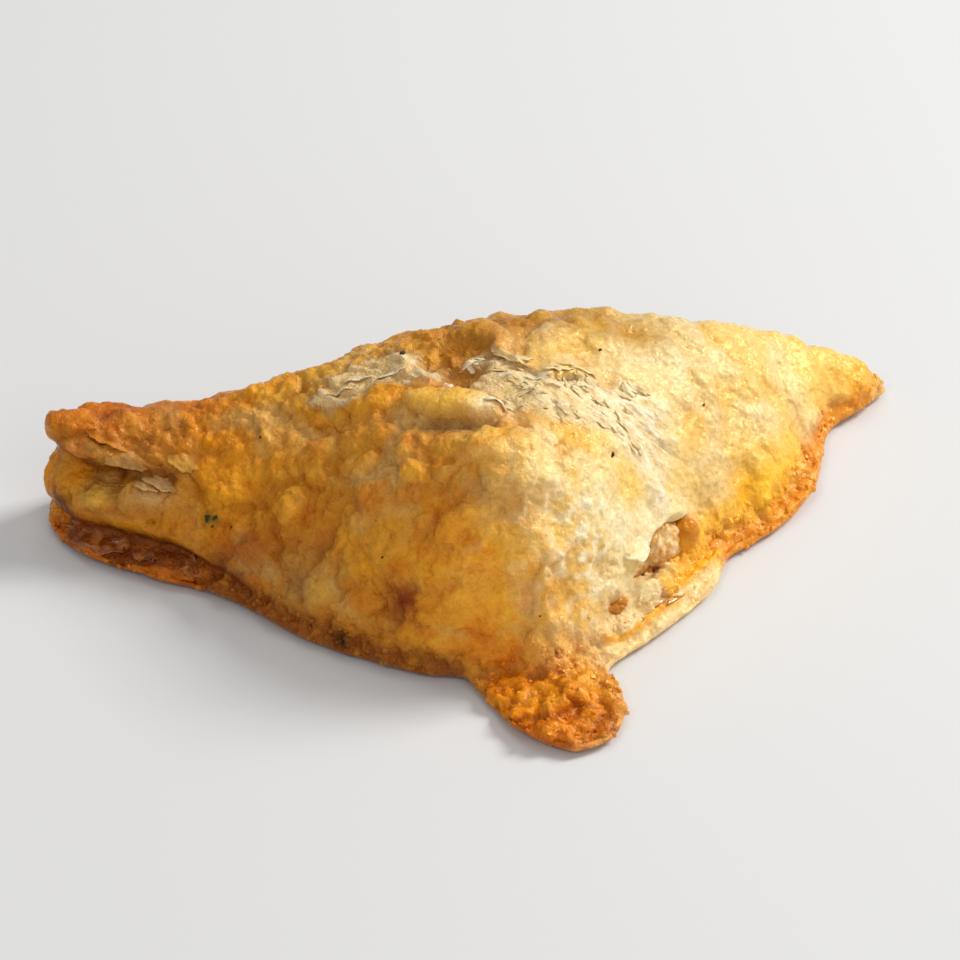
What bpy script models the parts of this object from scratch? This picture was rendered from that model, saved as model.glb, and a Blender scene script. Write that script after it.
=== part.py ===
"""A pate chaud: a square of puff pastry folded over a meat filling into a triangle, and baked.

The fold runs along X, from the thick left corner to the thin right one, and the square's own
corner points to -Y. Two nodes: the crust, hollow and torn open on its right flank, and the
filling that shows in the tear and runs through the pocket.
"""

import math

import bmesh
import bpy
import numpy as np
from mathutils import Matrix, Vector, noise

MM = 0.001

# The dough sheet, seen from above: its three sides, corner to corner.
LEFT_CORNER = (-1, -3)
FRONT_CORNER = (70, -85.5)
RIGHT_CORNER = (149, 0)
LEFT_EDGE = [(0.5, -10), (5, -18), (12, -24), (19, -27.5), (25, -32.5), (34, -45), (43, -53.5), (52, -60),
             (57.5, -62), (59, -69), (62, -79)]
RIGHT_EDGE = [(77, -83), (81, -75), (80.5, -66), (89, -60), (98, -53.5), (104, -48), (108, -41),
              (115, -37), (122, -32), (129, -23), (135, -10), (142, -5)]
FOLD_EDGE = [(145, 3.5), (128, 5), (100, 7), (70, 7), (40, 6), (15, 5.5), (2, 4)]

# The puffed pocket on that sheet, inside the pressed rims: the same three sides.
POCKET_LEFT_CORNER = (-0.6, -1)
POCKET_FRONT_CORNER = (70, -67.5)
POCKET_RIGHT_CORNER = (148, 0)
POCKET_LEFT = [(2, -8.5), (8, -13.5), (14, -18.5), (21, -24.5), (27, -33), (35, -44), (43.5, -52),
               (52, -59), (60, -63.5)]
POCKET_RIGHT = [(77, -64.5), (82, -60.5), (88, -55.5), (94, -50.5), (100, -44.5), (107, -38.5),
                (115, -33), (122, -27.5), (129, -18), (136, -8), (143, -4)]
POCKET_BACK = [(143, 3), (128, 5), (100, 7), (70, 7), (40, 6), (15, 5.5), (3, 3.5)]

# Crest of the pocket along X: position and height above the table.
CREST = [(0, 22), (6, 22), (15, 21.5), (27, 22.5), (38, 26.5), (48, 31.5), (60, 35.4), (70, 37.3),
         (80, 37.9), (87, 36.6), (95, 34.3), (103, 30.8), (112, 26), (121, 21.6), (129, 17.2),
         (138, 12.3), (145, 9.2), (149, 6)]

# How far in from each side the pocket takes to reach the crest, at its two ends and middle.
LEFT_RUN = (2, 32, 11)
RIGHT_RUN = (11, 36, 7)
BACK_RUN = (2.5, 23, 2.5)
RUN_PLACES = (0, 0.14, 0.45, 0.8, 1)    # along a side, where the run changes

# The pressed rims: their thickness, how it ripples, and the swelling at the square's corner.
RIM_THICKNESS = 2.4
RIM_RIPPLE = 0.6
RIM_RIPPLE_LENGTH = (3.1, 2.7)
TIP_SWELLING = 2.2
TIP_MIDDLE = (70, -72)
TIP_HALF = (8, 9)

# The underside: how far its edge turns up, over what distance, and the two places that lift off.
EDGE_LIFT = 1.1
EDGE_REACH = 1.6
BELOW_TABLE = 0.3
LIP_LIFT = 1.3
LIP_MIDDLE = (9, -20)
LIP_HALF = (9, 5)
LIP_TURN = -35
TIP_LIFT = 0.9
TIP_LIFT_MIDDLE = (60, -79)
TIP_LIFT_HALF = (6, 7)

# The open left end: where it fades out along X, its depth, and its layers from the top down,
# each with its height, half thickness and how far it comes out.
LEFT_END_FADE = (14, 34)
LEFT_END_DEPTH = 5
END_LAYERS = [(20.5, 3.2, 2.6), (14, 2.6, -2.4), (9, 3.2, 1.5), (4.3, 1.5, -1.4)]

# How far the left wall and the wall along the fold bulge out, over what depth and height.
LEFT_BULGE = 1.2
LEFT_BULGE_DEPTH = 6
LEFT_BULGE_HEIGHT = 13
BACK_BULGE = 1.6
BACK_BULGE_DEPTH = 8
BACK_BULGE_HEIGHT = 20
OUT_OF_LEFT = (-0.77, -0.64)

# Relief: round blisters left of a line through RIDGE_LINE, long ridges right of it, and a fine grain.
RIDGE_LINE = (76, -30)
RIDGE_FADE = 6
BLISTER_SIZE = 9.0
SMALL_BLISTER_SIZE = 4.2
SMALL_BLISTER_SHARE = 0.4
BLISTER_HEIGHT = 1.0
RIDGE_SIZE = 6.5
RIDGE_HEIGHT = 1.1
GRAIN_SIZE = 3.1
GRAIN_HEIGHT = 0.25
WOBBLE_SIZE = 9
WOBBLE = 2.5
RELIEF_DEPTH = 0.5

# Hollows and lumps of their own: place, half widths along X, Y and Z, and height.
LUMPS = [
    ((8, -6, 12.5), (7, 4, 2.2), -1.6),      # gap between the layers of the open left end
    ((24, -9, 17), (1.6, 6, 6), -1.8),       # crease across the left end
    ((60, -24, 34), (9, 5, 5), -1.8),        # torn skin behind the crest
    ((66, -45, 33), (6, 6, 6), 1.2),
    ((71, -57, 20), (6, 8, 10), 0.8),
    ((34, -31, 15), (7, 7, 6), 0.8),
]

LATTICE = 150           # triangles along each side of the sheet, before it is thinned out
SMOOTHING = 200         # passes that round off the ridges between the flanks
SMOOTHED = (22, 50, 100, 130)    # along X, where that rounding fades in and out again
VOXEL = 0.9
CRUST_PASSES = 3
CRUST_TRIANGLES = 9200

# The filling is the pocket drawn in towards its middle, on the lower sheet of the crust.
POCKET_MIDDLE = np.array((82, -25))
FILLING_SHARE = (0.68, 0.78)
FILLING_SHARE_OF_HEIGHT = 0.77
FLOOR_THICKNESS = 3.0
FILLING_LATTICE = 60
FILLING_VOXEL = 1.5
FILLING_PASSES = 6
FILLING_GRAIN = 5.5
FILLING_GRAIN_HEIGHT = 1.2
FILLING_DOME = 2.0
FILLING_TRIANGLES = 1400
FILLING_GAP = 0.45

# The tear on the right flank: its middle, half length, half width and half depth.
TEAR_MIDDLE = (95.2, -46.8, 9.8)
TEAR_HALF = (8.8, 4.0, 7)
TEAR_ALONG = (0.7, 0.71, 0.02)
TEAR_OUTWARD = (0.62, -0.62, 0.48)

# The lump of filling that lies behind the tear: its depth under the tear's middle, and half sizes.
LUMP_DEPTH = 7.2
LUMP_HALF = (9.5, 4.6, 5)

# The block below the table's level: its middle and size.
FLOOR_BLOCK_MIDDLE = (75, -40, -5)
FLOOR_BLOCK_SIZE = (220, 160, 10)

PASTRY_COLOUR = (0.62, 0.33, 0.08)
FILLING_COLOUR = (0.42, 0.2, 0.1)


def smooth_curve(points, samples=90):
    """Points evenly spread by length along a Catmull-Rom curve through the given ones."""
    p = np.array(points, float)
    ends = np.vstack([2 * p[0] - p[1], p, 2 * p[-1] - p[-2]])
    s = np.linspace(0, 1, 24, endpoint=False)[:, None]
    pieces = []
    for a, b, c, d in zip(ends, ends[1:], ends[2:], ends[3:]):
        pieces.append(0.5 * (2 * b + (c - a) * s + (2 * a - 5 * b + 4 * c - d) * s**2
                             + (3 * b - a - 3 * c + d) * s**3))
    dense = np.vstack(pieces + [p[-1:]])
    length = np.concatenate([[0], np.cumsum(np.linalg.norm(np.diff(dense, axis=0), axis=1))])
    even = np.linspace(0, length[-1], samples)
    return np.stack([np.interp(even, length, dense[:, 0]), np.interp(even, length, dense[:, 1])], 1)


def side_distance(plan, curve):
    """How far each plan point lies inside a side, and how far along the side, from 0 to 1."""
    start, step = curve[:-1], np.diff(curve, axis=0)
    rel = plan[:, None, :] - start[None]
    along = np.clip((rel * step).sum(2) / (step**2).sum(1), 0, 1)
    gap = rel - along[:, :, None] * step[None]
    far = np.linalg.norm(gap, axis=2)
    near = far.argmin(1)
    rows = np.arange(len(plan))
    cross = step[near, 0] * rel[rows, near, 1] - step[near, 1] * rel[rows, near, 0]
    return far[rows, near] * np.sign(cross), (near + along[rows, near]) / len(start)


def step_up(x, low, high):
    """0 below low, 1 above high, smooth between."""
    t = np.clip((x - low) / (high - low), 0, 1)
    return t * t * (3 - 2 * t)


def bump(x, y, at, size, turn=0.0):
    """A smooth hill of height 1 at a plan point, with its half widths and its turn in degrees."""
    c, s = math.cos(math.radians(turn)), math.sin(math.radians(turn))
    u = ((x - at[0]) * c + (y - at[1]) * s) / size[0]
    v = ((y - at[1]) * c - (x - at[0]) * s) / size[1]
    return np.exp(-(u * u + v * v))


def half_wave(x):
    """0 at 0 and at 1, with a hill of height 1 between."""
    return np.sin(math.pi * np.clip(x, 0, 1))


def quarter_round(distance, run):
    """Rise of a puffed edge: steep at the edge, level once it has run its course."""
    t = np.clip(distance / run, 0, 1)
    return np.sqrt(1 - (1 - t)**2)


def sheet_outline():
    """The three sides of the sheet, counter-clockwise from the left corner."""
    left = smooth_curve([LEFT_CORNER] + LEFT_EDGE + [FRONT_CORNER])
    right = smooth_curve([FRONT_CORNER] + RIGHT_EDGE + [RIGHT_CORNER])
    back = smooth_curve([RIGHT_CORNER] + FOLD_EDGE + [LEFT_CORNER])
    return left, right, back


def pocket_outline():
    """The three sides of the pocket, counter-clockwise from the left corner."""
    left = smooth_curve([POCKET_LEFT_CORNER] + POCKET_LEFT + [POCKET_FRONT_CORNER])
    right = smooth_curve([POCKET_FRONT_CORNER] + POCKET_RIGHT + [POCKET_RIGHT_CORNER])
    back = smooth_curve([POCKET_RIGHT_CORNER] + POCKET_BACK + [POCKET_LEFT_CORNER])
    return left, right, back


def spread(shares, sides):
    """Plan places of lattice points, from their shares of the three corners."""
    a, b, c = shares.T
    corners = np.array([LEFT_CORNER, FRONT_CORNER, RIGHT_CORNER], float)
    plan = shares @ corners
    for first, second, third, side, ends in ((a, b, c, sides[0], (0, 1)), (b, c, a, sides[1], (1, 2)),
                                             (c, a, b, sides[2], (2, 0))):
        t = second / np.maximum(first + second, 1e-9)
        on_side = np.stack([np.interp(t, np.linspace(0, 1, len(side)), side[:, k]) for k in (0, 1)], 1)
        straight = corners[ends[0]] * (1 - t[:, None]) + corners[ends[1]] * t[:, None]
        plan += (on_side - straight) * ((1 - third)**3)[:, None]
    return plan


def run_at(along, runs):
    """The run of a puffed edge at a share of its side's length."""
    start, middle, end = runs
    steps = (start, start + (middle - start) * 0.2, middle, (middle + end) / 2, end)
    return np.interp(along, RUN_PLACES, steps)


def top_height(plan):
    """Height of the upper surface over each plan point, without the small relief."""
    x, y = plan.T
    left, right, back = pocket_outline()
    d_left, t_left = side_distance(plan, left)
    d_right, t_right = side_distance(plan, right)
    d_back, t_back = side_distance(plan, back)
    rise = quarter_round(d_left, run_at(t_left, LEFT_RUN))
    rise *= quarter_round(d_right, run_at(t_right, RIGHT_RUN))
    rise *= quarter_round(d_back, run_at(t_back, BACK_RUN))
    crest = np.interp(x, [p[0] for p in CREST], [p[1] for p in CREST])
    rim = RIM_THICKNESS + TIP_SWELLING * bump(x, y, TIP_MIDDLE, TIP_HALF)
    rim += RIM_RIPPLE * np.sin(x / RIM_RIPPLE_LENGTH[0]) * np.sin(y / RIM_RIPPLE_LENGTH[1])
    return rim + (crest - rim) * rise


def lattice(cuts):
    """A three-sided prism whose two caps are cut into a lattice of triangles."""
    bm = bmesh.new()
    bmesh.ops.create_cone(bm, cap_ends=True, segments=3, radius1=1, radius2=1, depth=1)
    flat = [e for e in bm.edges if abs(e.verts[0].co.z - e.verts[1].co.z) < 0.5]
    bmesh.ops.subdivide_edges(bm, edges=flat, cuts=cuts - 1, use_grid_fill=True)
    return bm


def corner_shares(prism_points, packing=1.25):
    """Shares of the left, front and right corners in points of the prism, denser near the sides."""
    turns = [k * 2 * math.pi / 3 for k in (0, 2, 1)]
    corners = np.array([(math.sin(turn), math.cos(turn), 1) for turn in turns])
    flat = np.column_stack([prism_points[:, :2], np.ones(len(prism_points))])
    shares = np.clip(flat @ np.linalg.inv(corners), 0, 1)**packing
    return shares / shares.sum(1, keepdims=True)


def underside_height(plan):
    """Height of the underside: flat, with its edge turned up and the left lip lifted a little."""
    inside = np.min([side_distance(plan, side)[0] for side in sheet_outline()], axis=0)
    x, y = plan.T
    lifted = LIP_LIFT * bump(x, y, LIP_MIDDLE, LIP_HALF, LIP_TURN)
    lifted += TIP_LIFT * bump(x, y, TIP_LIFT_MIDDLE, TIP_LIFT_HALF)
    at_edge = np.exp(-np.clip(inside, 0, None) / EDGE_REACH)
    return (EDGE_LIFT + lifted) * at_edge + 0.5 * lifted - BELOW_TABLE


def swell(points):
    """Pushes the steep walls outwards at mid height, as puffed layers do, and opens the left end."""
    x, y, z = points.T
    left, _, back = pocket_outline()
    d_left, t_left = side_distance(points[:, :2], left)
    d_back, t_back = side_distance(points[:, :2], back)
    end = (1 - step_up(x, *LEFT_END_FADE)) * np.exp(-(np.clip(d_left, 0, None) / LEFT_END_DEPTH)**2)
    end *= step_up(z, 1.5, 4)
    layers = sum(reach * np.exp(-((z - height) / half)**2) for height, half, reach in END_LAYERS)
    wall = step_up(t_left, 0.25, 0.4) * (1 - step_up(t_left, 0.85, 1))
    wall *= np.exp(-(d_left / LEFT_BULGE_DEPTH)**2) * half_wave(z / LEFT_BULGE_HEIGHT)
    behind = step_up(t_back, 0, 0.15) * (1 - step_up(t_back, 0.85, 1))
    behind *= np.exp(-(d_back / BACK_BULGE_DEPTH)**2) * half_wave(z / BACK_BULGE_HEIGHT)
    out = end * layers + LEFT_BULGE * wall
    return np.column_stack([x + OUT_OF_LEFT[0] * out, y + OUT_OF_LEFT[1] * out + BACK_BULGE * behind, z])


def blisters(place, size):
    """Height of the blister at a place, from 0 in the creases to 1 on its crown."""
    nearest, second = noise.voronoi(place / size)[0][:2]
    return min(1.0, 1.5 * (second - nearest))**0.7


def relief(x, y, z):
    """Height of the small relief of the crust, in mm, at a point of the upper surface."""
    place = Vector((x, y, z))
    wobble = noise.noise_vector(place / WOBBLE_SIZE) * WOBBLE
    past_line = (x - RIDGE_LINE[0]) * 0.8 - (y - RIDGE_LINE[1]) * 0.15
    on_right = 1 / (1 + math.exp(-past_line / RIDGE_FADE))
    small = blisters(place + wobble * 0.5, SMALL_BLISTER_SIZE)
    lumps = blisters(place + wobble, BLISTER_SIZE) + SMALL_BLISTER_SHARE * small
    along = Vector((x * 0.8 + y * 0.35, y * 0.45 - x * 0.35, z * 0.6))
    ridges = blisters(along + wobble, RIDGE_SIZE)
    height = (1 - on_right) * BLISTER_HEIGHT * lumps + on_right * RIDGE_HEIGHT * ridges
    return height + GRAIN_HEIGHT * noise.fractal(place / GRAIN_SIZE, 0.8, 2.0, 3) - RELIEF_DEPTH


def lumps_at(points):
    """Summed height of the single lumps at each point."""
    total = np.zeros(len(points))
    for at, size, height in LUMPS:
        total += height * np.exp(-(((points - at) / size)**2).sum(1))
    return total


def evaluated(mesh, add_modifiers):
    """The mesh after the modifiers that a function adds to an object holding it."""
    holder = bpy.data.objects.new("holder", mesh)
    bpy.context.scene.collection.objects.link(holder)
    add_modifiers(holder.modifiers)
    seen = holder.evaluated_get(bpy.context.evaluated_depsgraph_get())
    result = bpy.data.meshes.new_from_object(seen)
    bpy.data.objects.remove(holder)
    return result


def made_even(mesh, size, passes):
    """The mesh as one skin of even faces of a size, its steps calmed by some smoothing passes."""
    def add(modifiers):
        remesh = modifiers.new("even", "REMESH")
        remesh.mode = "VOXEL"
        remesh.voxel_size = size
        calm = modifiers.new("calm", "SMOOTH")
        calm.factor = 0.5
        calm.iterations = passes
    return evaluated(mesh, add)


def thin_out(mesh, triangles):
    """The mesh with about this many triangles, most of them where it bends."""
    def add(modifiers):
        now = sum(len(p.vertices) - 2 for p in mesh.polygons)
        modifiers.new("thin", "DECIMATE").ratio = triangles / now
    return evaluated(mesh, add)


def points_and_normals(mesh):
    """The places of the mesh's vertices and the directions out of it there."""
    points = np.empty(len(mesh.vertices) * 3)
    mesh.vertices.foreach_get("co", points)
    normals = np.empty(len(mesh.vertices) * 3)
    mesh.vertex_normals.foreach_get("vector", normals)
    return points.reshape(-1, 3), normals.reshape(-1, 3)


def baked_crust():
    """The puffed sheet as one thick closed body, its underside cut flat."""
    bm = lattice(LATTICE)
    co = np.array([v.co for v in bm.verts])
    plan = spread(corner_shares(co), sheet_outline())
    upper = co[:, 2] > 0
    z = np.where(upper, top_height(plan), underside_height(plan))
    for v, p in zip(bm.verts, np.column_stack([plan, z])):
        v.co = p
    inner = [v for v, up in zip(bm.verts, upper) if up and v.co.z > 5]
    for _ in range(SMOOTHING):
        bmesh.ops.smooth_vert(bm, verts=inner, factor=0.5, use_axis_z=True)
    smooth_z = np.array([v.co.z for v in bm.verts])
    share = step_up(plan[:, 0], *SMOOTHED[:2]) * (1 - step_up(plan[:, 0], *SMOOTHED[2:]))
    for v, smooth, sharp, s in zip(bm.verts, smooth_z, z, share):
        v.co.z = smooth * s + sharp * (1 - s)
    mesh = bpy.data.meshes.new("crust")
    bm.to_mesh(mesh)
    bm.free()
    mesh = made_even(mesh, VOXEL, CRUST_PASSES)

    points, normals = points_and_normals(mesh)
    small = np.array([relief(*p) for p in points]) + lumps_at(points)
    small *= step_up(points[:, 2], 0.5, 3)
    points = swell(points) + normals * small[:, None]
    mesh.vertices.foreach_set("co", (points * MM).ravel())
    mesh.update()
    return thin_out(mesh, CRUST_TRIANGLES)


def tear_frame(outward_shift=0.0):
    """Axes at the tear: X along it, Y up the flank across it, Z out of the crust."""
    along = Vector(TEAR_ALONG).normalized()
    outward = Vector(TEAR_OUTWARD)
    outward = (outward - along * outward.dot(along)).normalized()
    frame = Matrix((along, outward.cross(along), outward)).transposed().to_4x4()
    frame.translation = Vector(TEAR_MIDDLE) + outward * outward_shift
    return frame


def lump_of_filling():
    """The pocket's own form drawn in to the filling's size, uneven, and bulging into the tear."""
    bm = lattice(FILLING_LATTICE)
    co = np.array([v.co for v in bm.verts])
    plan = spread(corner_shares(co), pocket_outline())
    domed = (top_height(plan) - RIM_THICKNESS) * FILLING_SHARE_OF_HEIGHT
    plan = POCKET_MIDDLE + (plan - POCKET_MIDDLE) * FILLING_SHARE
    z = FLOOR_THICKNESS + np.where(co[:, 2] > 0, FILLING_DOME + domed, 0)
    for v, p in zip(bm.verts, np.column_stack([plan, z])):
        v.co = p
    lump = tear_frame(-LUMP_DEPTH) @ Matrix.Diagonal((*LUMP_HALF, 1))
    bmesh.ops.create_uvsphere(bm, u_segments=32, v_segments=16, radius=1, matrix=lump)
    mesh = bpy.data.meshes.new("filling")
    bm.to_mesh(mesh)
    bm.free()
    mesh = made_even(mesh, FILLING_VOXEL, FILLING_PASSES)
    points, normals = points_and_normals(mesh)
    lumpy = np.array([FILLING_GRAIN_HEIGHT * noise.noise(Vector(p) / FILLING_GRAIN) - 1 for p in points])
    lumpy *= step_up(points[:, 2], FLOOR_THICKNESS, FLOOR_THICKNESS + 4)
    mesh.vertices.foreach_set("co", (points + normals * lumpy[:, None]).ravel())
    mesh.update()
    mesh = thin_out(mesh, FILLING_TRIANGLES)
    mesh.transform(Matrix.Scale(MM, 4))
    return mesh


def grown(mesh, distance):
    """A copy of the mesh, moved out along its normals."""
    copy = mesh.copy()
    points, normals = points_and_normals(mesh)
    copy.vertices.foreach_set("co", (points + normals * distance).ravel())
    return copy


def tear_cutter():
    """A flat ragged lump that opens the crust down to the filling."""
    bm = bmesh.new()
    bmesh.ops.create_icosphere(bm, subdivisions=3, radius=1)
    frame = tear_frame()
    for v in bm.verts:
        ragged = 1 + 0.28 * noise.noise(v.co * 2.3 + Vector((3, 1, 4)))
        v.co = frame @ (v.co * ragged * Vector(TEAR_HALF)) * MM
    mesh = bpy.data.meshes.new("tear")
    bm.to_mesh(mesh)
    bm.free()
    return mesh


def floor_cutter():
    """A block under the table's level, which cuts the underside flat."""
    bm = bmesh.new()
    bmesh.ops.create_cube(bm, size=1)
    for v in bm.verts:
        v.co = (Vector(FLOOR_BLOCK_MIDDLE) + v.co * Vector(FLOOR_BLOCK_SIZE)) * MM
    mesh = bpy.data.meshes.new("floor")
    bm.to_mesh(mesh)
    bm.free()
    return mesh


def finish(name, colour, roughness):
    """A plain Principled material."""
    material = bpy.data.materials.new(name)
    material.use_nodes = True
    shader = material.node_tree.nodes["Principled BSDF"]
    shader.inputs["Base Color"].default_value = (*colour, 1)
    shader.inputs["Roughness"].default_value = roughness
    return material


def add_object(name, mesh, collection, place):
    """An object holding the mesh, at a place, in a collection."""
    obj = bpy.data.objects.new(name, mesh)
    obj.location = place
    collection.objects.link(obj)
    return obj


def main():
    """Builds the crust with its cuts and the filling, and returns how far they were moved to the middle."""
    for obj in list(bpy.data.objects):
        bpy.data.objects.remove(obj)
    pie = bpy.data.collections.new("pate_chaud")
    cutters = bpy.data.collections.new("cutters")
    for collection in (pie, cutters):
        bpy.context.scene.collection.children.link(collection)

    crust_mesh = baked_crust()
    box = np.array([v.co for v in crust_mesh.vertices])
    middle = (box.min(0) + box.max(0)) / 2
    place = (-middle[0], -middle[1], 0)
    crust = add_object("crust", crust_mesh, pie, place)
    crust_mesh.materials.append(finish("baked puff pastry", PASTRY_COLOUR, 0.6))
    filling_mesh = lump_of_filling()
    shapes = {"floor": floor_cutter(), "hollow": grown(filling_mesh, FILLING_GAP * MM), "tear": tear_cutter()}
    for name, shape in shapes.items():
        cutter = add_object(name, shape, cutters, place)
        cutter.hide_render = True
        cutter.display_type = "WIRE"
        cut = crust.modifiers.new(name, "BOOLEAN")
        cut.object = cutter
    add_object("filling", filling_mesh, pie, place)
    filling_mesh.materials.append(finish("cooked meat filling", FILLING_COLOUR, 0.5))
    return place


SHIFT = main()
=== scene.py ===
"""Looks of a pate chaud: puff pastry folded over a meat filling into a triangle, and baked."""

import itertools
import math

import bmesh
import bpy
import numpy as np
from mathutils import Matrix, Vector
from mathutils.bvhtree import BVHTree


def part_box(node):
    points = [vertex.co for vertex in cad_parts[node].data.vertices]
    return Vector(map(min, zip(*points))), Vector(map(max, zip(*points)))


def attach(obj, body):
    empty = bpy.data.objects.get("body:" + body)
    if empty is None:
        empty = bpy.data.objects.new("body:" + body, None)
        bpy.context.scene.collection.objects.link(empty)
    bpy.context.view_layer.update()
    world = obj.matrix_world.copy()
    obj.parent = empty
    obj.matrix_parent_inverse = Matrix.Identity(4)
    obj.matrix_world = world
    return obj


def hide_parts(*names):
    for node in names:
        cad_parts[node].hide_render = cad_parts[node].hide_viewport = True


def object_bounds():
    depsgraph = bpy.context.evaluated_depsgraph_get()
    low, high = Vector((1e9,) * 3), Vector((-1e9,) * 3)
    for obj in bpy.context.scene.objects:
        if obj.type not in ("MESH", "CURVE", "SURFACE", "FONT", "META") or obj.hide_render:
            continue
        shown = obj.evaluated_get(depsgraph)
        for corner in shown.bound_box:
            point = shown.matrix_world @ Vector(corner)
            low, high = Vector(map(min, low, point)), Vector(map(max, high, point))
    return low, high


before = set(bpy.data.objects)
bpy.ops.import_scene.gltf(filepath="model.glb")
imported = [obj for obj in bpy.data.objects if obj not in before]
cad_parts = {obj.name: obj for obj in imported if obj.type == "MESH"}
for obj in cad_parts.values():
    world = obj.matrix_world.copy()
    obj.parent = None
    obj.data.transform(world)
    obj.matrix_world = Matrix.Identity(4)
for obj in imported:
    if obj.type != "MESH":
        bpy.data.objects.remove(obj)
CAD_BOX = [list(corner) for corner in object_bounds()]


# ---- Table, light and camera ----
# A pale plain table under the soft light of a kitchen: the main window stands to the right of the
# pastry, weaker ones behind it and in front of it, and the room is bright all round.

MM = 0.001
low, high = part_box("crust")
CORNER = np.array((low.x + 1.1 * MM, high.y - 8.4 * MM, 0))     # the fold's left corner


def to_row(places):
    """Places in mm from the fold's left corner, X along the fold, as places in the row frame."""
    return np.asarray(places, float) * MM + CORNER


def linear(hex_colour):
    """An sRGB hex colour as linear RGBA."""
    parts = [int(hex_colour[i:i + 2], 16) / 255 for i in (1, 3, 5)]
    return (*[c / 12.92 if c < 0.04045 else ((c + 0.055) / 1.055)**2.4 for c in parts], 1)


def fill(tree, node, inputs):
    """Gives a node's inputs, named by identifier or by name, their values or links."""
    for socket, value in dict(inputs).items():
        into = next((s for s in node.inputs if s.identifier == socket), None) or node.inputs[socket]
        if isinstance(value, bpy.types.NodeSocket):
            tree.links.new(value, into)
        else:
            into.default_value = value


def add(tree, kind, inputs=(), output=0, **settings):
    """Adds a node with its settings, fills its inputs with values or links, and gives one output."""
    node = tree.nodes.new(kind)
    for name, value in settings.items():
        setattr(node, name, value)
    fill(tree, node, inputs)
    return node.outputs[output]


def new_material(name, values):
    """A material with a Principled shader that has these constant values, and its tree and shader."""
    material = bpy.data.materials.new(name)
    material.use_nodes = True
    shader = material.node_tree.nodes["Principled BSDF"]
    fill(material.node_tree, shader, values)
    return material, material.node_tree, shader


def new_object(name, data):
    obj = bpy.data.objects.new(name, data)
    bpy.context.scene.collection.objects.link(obj)
    return obj


VIEW = (-13.9, 35.71)           # azimuth and elevation of the camera, in degrees
LOOK_AT = (73.3, -7.7, 0)       # mm
CAMERA_DISTANCE = 0.946         # m
LENS = 207.1                    # mm, on a sensor 36 mm wide
TABLE_SIZE = 3.0                # m
TABLE_TOP = -0.2                # mm, just clear of the flat underside
ROOM_LIGHT = 0.45
WINDOWS = [                     # azimuth from the camera's own, elevation, distance and size in m, watts
    (115, 40, 1.2, 0.42, 12.4),
    (-160, 66, 1.3, 0.8, 2.5),
    (24, 32, 1.4, 1.0, 4.2),
    (-32, 46, 1.1, 0.14, 1.0),
]


def direction(azimuth, elevation):
    """The way from the pastry to something that stands at these angles."""
    a, e = math.radians(azimuth), math.radians(elevation)
    return Vector((math.sin(a) * math.cos(e), -math.cos(a) * math.cos(e), math.sin(e)))


target = Vector(to_row(LOOK_AT))
camera = new_object("camera", bpy.data.cameras.new("camera"))
camera.data.sensor_width = 36
camera.data.lens = LENS
camera.data.clip_start = 0.01
camera.location = target + direction(*VIEW) * CAMERA_DISTANCE
camera.rotation_euler = direction(*VIEW).to_track_quat("Z", "Y").to_euler()
bpy.context.scene.camera = camera

for number, (azimuth, elevation, distance, size, watts) in enumerate(WINDOWS):
    lamp = bpy.data.lights.new(f"window_{number}", "AREA")
    lamp.shape = "SQUARE"
    lamp.size = size
    lamp.energy = watts
    window = new_object(lamp.name, lamp)
    towards = direction(VIEW[0] + azimuth, elevation)
    window.location = target + towards * distance
    window.rotation_euler = towards.to_track_quat("Z", "Y").to_euler()

world = bpy.data.worlds.new("room")
bpy.context.scene.world = world
world.use_nodes = True
fill(world.node_tree, world.node_tree.nodes["Background"], {"Color": linear("#DADCE0"), "Strength": ROOM_LIGHT})
# The plain transform keeps the yellows of butter pastry, which the default one turns grey.
bpy.context.scene.view_settings.view_transform = "Standard"

table_mesh = bpy.data.meshes.new("table")
half = TABLE_SIZE / 2
corners = [(-half, -half), (half, -half), (half, half), (-half, half)]
table_mesh.from_pydata([(*corner, TABLE_TOP * MM) for corner in corners], [], [(0, 1, 2, 3)])
table = new_object("table", table_mesh)
# Matt laminate: pale, even and without gloss, so it throws soft light up onto the flanks.
material, _, _ = new_material("matt white laminate", {"Base Color": linear("#D9D8D6"), "Roughness": 0.75})
table_mesh.materials.append(material)


# ---- Crust ----
# Puff pastry: many thin layers that steam has blown apart. The baked skin is blistered and browned
# on its crowns, paler in its creases, and where the skin has torn off the ivory layers show. Its
# colours also hold painted shade in creases, dents and the hollow, and painted highlights and glints.

RANDOM = np.random.default_rng(11).random((4096, 3))       # rows: a power of two
SKIN_CELL = 0.42                # mm, side of the faces that carry the skin's relief
TOP_ROOM = (0.5, 1.4)           # mm under the top where blisters begin to be pressed down, mm left to them
SKIN_PASSES = 12
SKIN_TRIANGLES = 198_000
BIG_BLISTER, SMALL_BLISTER, TIP_LUMP = 6.5, 2.8, 4.5       # mm across
PIP, FINE_PIP = 1.7, 1.1        # mm across, the grains of the crisp rims and of the left flank
FIBRE_SIZES = (7, 0.85, 3)      # mm: along a bared fibre, from one to the next, and through the layer
LAYER_STEPS = (-0.35, 0.05, 0.45)       # where in the cloud of layers one skin ends on the next
LAYER_STEP = 0.26               # mm
BACK_CALM = 0.45                # share of the relief that the back side lacks


def random_at(cells, seed):
    """Three numbers from 0 to 1 that belong to each whole-numbered cell."""
    hashed = cells[..., 0] * 73856093 ^ cells[..., 1] * 19349663 ^ cells[..., 2] * 83492791 ^ seed * 40503
    return RANDOM[(hashed ^ hashed >> 15) & len(RANDOM) - 1]


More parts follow.
